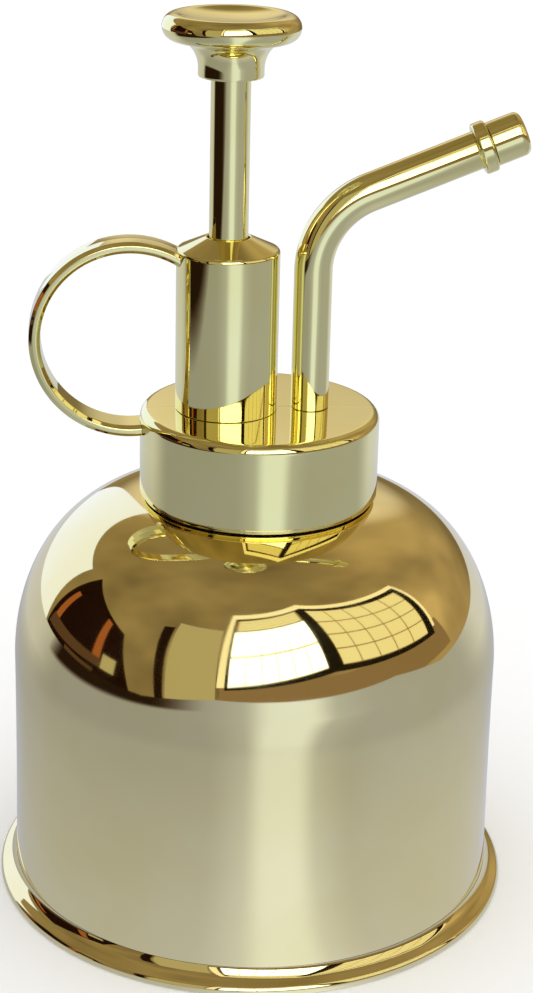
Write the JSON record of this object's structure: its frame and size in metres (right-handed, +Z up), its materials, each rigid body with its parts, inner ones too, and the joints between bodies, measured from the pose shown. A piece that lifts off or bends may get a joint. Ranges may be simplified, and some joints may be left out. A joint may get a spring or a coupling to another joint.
{
  "type": "hand mister",
  "caption": "Plant mister: domed metal bottle on a rolled foot, screw-on pump head with push knob, finger ring and bent spout ending in a small nozzle.",
  "frame": {"origin": "on the bottle's axis, at the surface it stands on", "axes": "+Z up along the bottle's axis, +X towards the spout and nozzle, -X towards the finger ring"},
  "size_m": [0.0858, 0.0858, 0.1446],
  "materials": {
    "bottle_metal": "drawn sheet metal with mirror-polished, pale brass-coloured plating",
    "plated_plastic": "moulded plastic with mirror-bright, pale brass-coloured plating",
    "drawn_brass": "plain drawn brass tube",
    "steel": "bright stainless steel",
    "natural_plastic": "uncoloured moulded plastic",
    "rubber": "smooth black nitrile rubber"
  },
  "bodies": {
    "bottle": {"bottle_shell": "bottle_metal", "base_pan": "bottle_metal", "threaded_neck": "bottle_metal"},
    "gasket": {"neck_gasket": "rubber"},
    "head": {"cap_shell": "plated_plastic", "cap_liner": "natural_plastic", "finger_ring": "plated_plastic", "barrel_housing": "plated_plastic", "rod_guide": "natural_plastic", "rod_wiper": "rubber", "pump_body": "natural_plastic", "pump_cylinder": "drawn_brass", "ball_cage": "natural_plastic", "dip_tube": "natural_plastic", "inlet_strainer": "natural_plastic", "outlet_spring": "steel", "return_spring": "steel", "spout_seal": "rubber", "spout_tube": "plated_plastic", "nozzle_collar": "plated_plastic", "swirl_core": "natural_plastic"},
    "piston": {"piston_head": "natural_plastic", "piston_seal": "rubber"},
    "plunger": {"push_knob": "plated_plastic", "piston_rod": "plated_plastic"},
    "inlet_valve": {"inlet_ball": "steel"},
    "outlet_valve": {"outlet_ball": "steel"},
    "nozzle_seal": {"nozzle_washer": "rubber"},
    "nozzle": {"nozzle_cap": "plated_plastic"}
  },
  "joints": [
    {"name": "head_lift", "type": "slide", "parent": "bottle", "child": "gasket", "axis": [0, 0, 1], "range_m": [0, 0.0045]},
    {"name": "head_unscrew", "type": "hinge", "parent": "gasket", "child": "head", "pos_m": [0, 0, 0.078], "axis": [0, 0, 1], "range_deg": [0, 541]},
    {"name": "pump_press", "type": "slide", "parent": "head", "child": "piston", "axis": [0, 0, -1], "range_m": [0, 0.0235], "stiffness_N_per_m": 250, "springref_m": -0.012, "deforming": ["return_spring"]},
    {"name": "knob_spin", "type": "hinge", "parent": "piston", "child": "plunger", "pos_m": [-0.00545, 0, 0.12], "axis": [0, 0, 1], "continuous": true},
    {"name": "inlet_ball_lift", "type": "slide", "parent": "head", "child": "inlet_valve", "axis": [0, 0, 1], "range_m": [0, 0.0012]},
    {"name": "outlet_ball_lift", "type": "slide", "parent": "head", "child": "outlet_valve", "axis": [0, 0, 1], "range_m": [0, 0.0009], "stiffness_N_per_m": 40, "springref_m": -0.001, "deforming": ["outlet_spring"]},
    {"name": "nozzle_advance", "type": "slide", "parent": "head", "child": "nozzle_seal", "axis": [0.9272, 0, 0.3746], "range_m": [0, 0.0008]},
    {"name": "nozzle_turn", "type": "hinge", "parent": "nozzle_seal", "child": "nozzle", "pos_m": [0.00795, 0, 0.11392], "axis": [0.9272, 0, 0.3746], "range_deg": [0, 361]}
  ],
  "couplings": [
    {"joint": "head_unscrew", "follows": "head_lift", "rad_per_m": 2094.4},
    {"joint": "nozzle_turn", "follows": "nozzle_advance", "rad_per_m": 7854}
  ]
}
